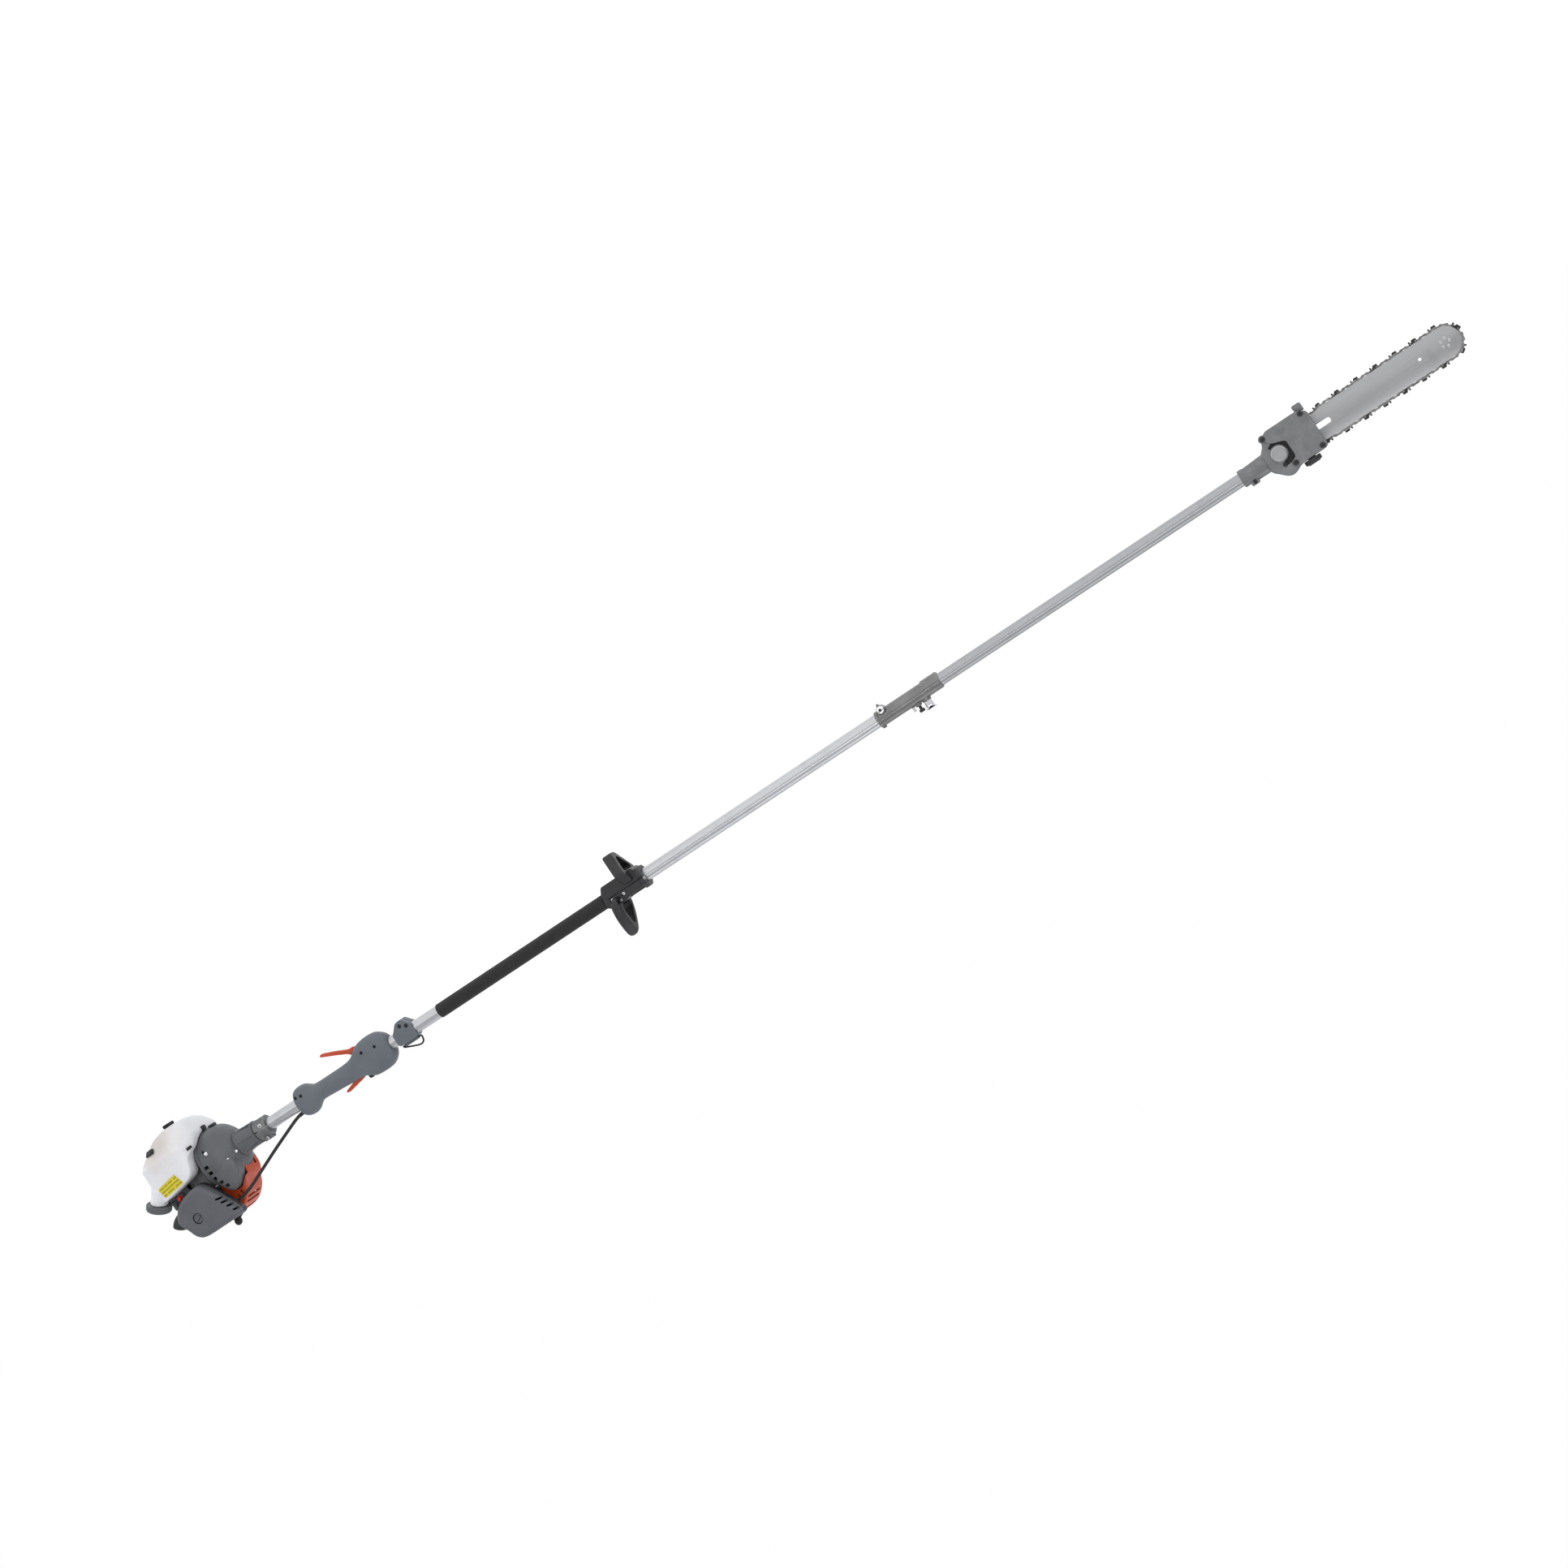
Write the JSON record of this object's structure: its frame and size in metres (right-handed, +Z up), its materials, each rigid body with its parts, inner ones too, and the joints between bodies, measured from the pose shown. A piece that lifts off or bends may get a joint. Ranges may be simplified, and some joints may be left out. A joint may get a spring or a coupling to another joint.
{
  "type": "telescoping pole saw",
  "caption": "Engine-driven pole saw: a small two-stroke engine, a sliding two-section pole with grip, loop handle and throttle, and an angled gear head with guide bar and chain.",
  "frame": {"origin": "underside of the engine's foot pad, below the pole's axis", "axes": "+X along the pole towards the saw, +Y to the user's left, +Z up"},
  "size_m": [3.0563, 0.1869, 0.2569],
  "materials": {
    "pole_rear": "bare drawn aluminium, fine lengthwise lines",
    "pole_front": "bare drawn aluminium, a shade darker",
    "foam": "matt closed-cell foam",
    "steel": "machined steel",
    "muffler_steel": "heat-tinted pressed steel",
    "chain_steel": "oiled chain steel",
    "bar_steel": "ground bar steel",
    "cast_aluminium": "bead-blasted casting",
    "coupler_grey": "satin die casting",
    "chrome": "polished chrome",
    "black_plastic": "fine-grained moulding",
    "dark_grey_plastic": "fine-grained moulding",
    "grey_plastic": "satin moulding",
    "handle_grey": "satin moulding",
    "orange_plastic": "semi-gloss moulding",
    "red_plastic": "semi-gloss moulding",
    "tank_white": "translucent blow-moulded tank",
    "rubber": "black rubber",
    "rope": "braided starter cord",
    "sticker_yellow": "plain vinyl sticker"
  },
  "bodies": {
    "engine_and_rear_pole": {"rear_pole_tube": "pole_rear", "foam_grip_sleeve": "foam", "rear_shaft_bush_1": "black_plastic", "rear_shaft_bush_2": "black_plastic", "engine_pole_clamp": "cast_aluminium", "clutch_housing": "dark_grey_plastic", "fan_housing": "dark_grey_plastic", "crankcase": "cast_aluminium", "cylinder": "cast_aluminium", "spark_plug": "rubber", "cylinder_cover": "orange_plastic", "muffler": "muffler_steel", "carburettor": "cast_aluminium", "air_filter_base": "black_plastic", "air_filter_element": "foam", "air_filter_cover": "grey_plastic", "starter_housing": "dark_grey_plastic", "fuel_tank": "tank_white", "tank_foot_pad": "rubber", "throttle_cable": "rubber", "throttle_handle_left_shell": "handle_grey", "throttle_handle_right_shell": "handle_grey", "harness_clamp": "handle_grey", "loop_handle": "black_plastic", "loop_handle_cap": "black_plastic", "coupler_sleeve": "coupler_grey"},
    "crank": {"crankshaft": "steel", "flywheel_fan": "cast_aluminium", "clutch_shoes": "steel"},
    "piston": {"piston": "cast_aluminium"},
    "rear_drive": {"clutch_drum": "steel", "rear_drive_shaft": "steel"},
    "starter_drum": {"starter_pulley": "black_plastic"},
    "starter_pull": {"starter_grip": "black_plastic", "starter_rope": "rope"},
    "trigger": {"throttle_trigger": "orange_plastic"},
    "lockout": {"lockout_lever": "orange_plastic"},
    "switch": {"stop_switch": "black_plastic"},
    "choke": {"choke_lever": "black_plastic"},
    "primer": {"primer_bulb": "red_plastic"},
    "tank_cap": {"fuel_cap": "dark_grey_plastic"},
    "filter_knob": {"air_filter_knob": "grey_plastic"},
    "hanger_ring": {"harness_ring": "steel"},
    "clamp_knob": {"coupler_knob": "chrome"},
    "lock_pin": {"coupler_lock_pin": "black_plastic"},
    "saw_section": {"front_pole_tube": "pole_front", "front_shaft_bush": "black_plastic", "gear_case": "cast_aluminium", "gear_case_cover": "cast_aluminium", "gear_case_cap": "steel", "guide_bar": "bar_steel", "saw_chain": "chain_steel", "sprocket_cover": "black_plastic", "bar_nut": "steel", "limb_stop": "cast_aluminium"},
    "front_drive": {"front_drive_rod": "steel"},
    "sprocket": {"bevel_gear": "steel", "rim_sprocket": "steel"},
    "nose_wheel": {"nose_sprocket": "steel"},
    "oil_filler_cap": {"oil_cap": "black_plastic"}
  },
  "joints": [
    {"name": "crankshaft_spin", "type": "hinge", "parent": "engine_and_rear_pole", "child": "crank", "pos_m": [0, 0, 0.117], "axis": [1, 0, 0], "continuous": true},
    {"name": "piston_stroke", "type": "slide", "parent": "engine_and_rear_pole", "child": "piston", "axis": [0, 0, 1], "range_m": [-0.024, 0]},
    {"name": "drive_shaft_spin", "type": "hinge", "parent": "engine_and_rear_pole", "child": "rear_drive", "pos_m": [0, 0, 0.117], "axis": [1, 0, 0], "continuous": true},
    {"name": "starter_pull", "type": "slide", "parent": "engine_and_rear_pole", "child": "starter_pull", "axis": [0, 0, 1], "range_m": [0, 0.6], "stiffness_N_per_m": 8, "springref_m": -0.3},
    {"name": "starter_drum_turn", "type": "hinge", "parent": "engine_and_rear_pole", "child": "starter_drum", "pos_m": [0, 0, 0.117], "axis": [1, 0, 0], "range_deg": [0, 1330]},
    {"name": "trigger_squeeze", "type": "hinge", "parent": "engine_and_rear_pole", "child": "trigger", "pos_m": [0.448, 0, 0.091], "axis": [0, 1, 0], "range_deg": [0, 14], "stiffness_Nm_per_rad": 0.6, "springref_deg": -28.65},
    {"name": "lockout_press", "type": "hinge", "parent": "engine_and_rear_pole", "child": "lockout", "pos_m": [0.428, 0, 0.1395], "axis": [0, 1, 0], "range_deg": [-7, 0], "stiffness_Nm_per_rad": 0.6, "springref_deg": 28.65},
    {"name": "stop_switch_slide", "type": "slide", "parent": "engine_and_rear_pole", "child": "switch", "axis": [1, 0, 0], "range_m": [-0.004, 0]},
    {"name": "choke_lever_turn", "type": "hinge", "parent": "engine_and_rear_pole", "child": "choke", "pos_m": [-0.024, 0, 0.217], "axis": [0, 1, 0], "range_deg": [-35, 0]},
    {"name": "primer_press", "type": "slide", "parent": "engine_and_rear_pole", "child": "primer", "axis": [0, 1, 0], "range_m": [-0.004, 0], "stiffness_N_per_m": 400, "springref_m": 0.002},
    {"name": "fuel_cap_turn", "type": "hinge", "parent": "engine_and_rear_pole", "child": "tank_cap", "pos_m": [-0.075, 0.069, 0.13], "axis": [-0.6392, 0, 0.769], "range_deg": [0, 720]},
    {"name": "filter_knob_turn", "type": "hinge", "parent": "engine_and_rear_pole", "child": "filter_knob", "pos_m": [-0.004, 0, 0.197], "axis": [0, 1, 0], "range_deg": [0, 90]},
    {"name": "hanger_ring_swing", "type": "hinge", "parent": "engine_and_rear_pole", "child": "hanger_ring", "pos_m": [0.562, 0, 0.1365], "axis": [1, 0, 0], "range_deg": [-70, 70]},
    {"name": "clamp_knob_turn", "type": "hinge", "parent": "engine_and_rear_pole", "child": "clamp_knob", "pos_m": [1.814, 0, 0.117], "axis": [0, 0, 1], "range_deg": [0, 720]},
    {"name": "lock_pin_pull", "type": "slide", "parent": "engine_and_rear_pole", "child": "lock_pin", "axis": [0, 0, 1], "range_m": [0, 0.006], "stiffness_N_per_m": 600, "springref_m": -0.003},
    {"name": "front_pole_slide", "type": "slide", "parent": "engine_and_rear_pole", "child": "saw_section", "axis": [1, 0, 0], "range_m": [-0.56, 0]},
    {"name": "front_drive_spin", "type": "hinge", "parent": "saw_section", "child": "front_drive", "pos_m": [0, 0, 0.117], "axis": [1, 0, 0], "continuous": true},
    {"name": "sprocket_spin", "type": "hinge", "parent": "saw_section", "child": "sprocket", "pos_m": [2.584, 0, 0.117], "axis": [0, 1, 0], "continuous": true},
    {"name": "nose_sprocket_spin", "type": "hinge", "parent": "saw_section", "child": "nose_wheel", "pos_m": [2.9195, -0.012, 0.114], "axis": [0, 1, 0], "continuous": true},
    {"name": "oil_cap_turn", "type": "hinge", "parent": "saw_section", "child": "oil_filler_cap", "pos_m": [2.627, 0.006, 0.157], "axis": [0, 0, 1], "range_deg": [0, 540]}
  ],
  "couplings": [
    {"joint": "starter_drum_turn", "follows": "starter_pull", "rad_per_m": 38.462},
    {"joint": "front_drive_spin", "follows": "drive_shaft_spin", "ratio": 1},
    {"joint": "sprocket_spin", "follows": "drive_shaft_spin", "ratio": -0.8},
    {"joint": "nose_sprocket_spin", "follows": "drive_shaft_spin", "ratio": -0.43228}
  ]
}
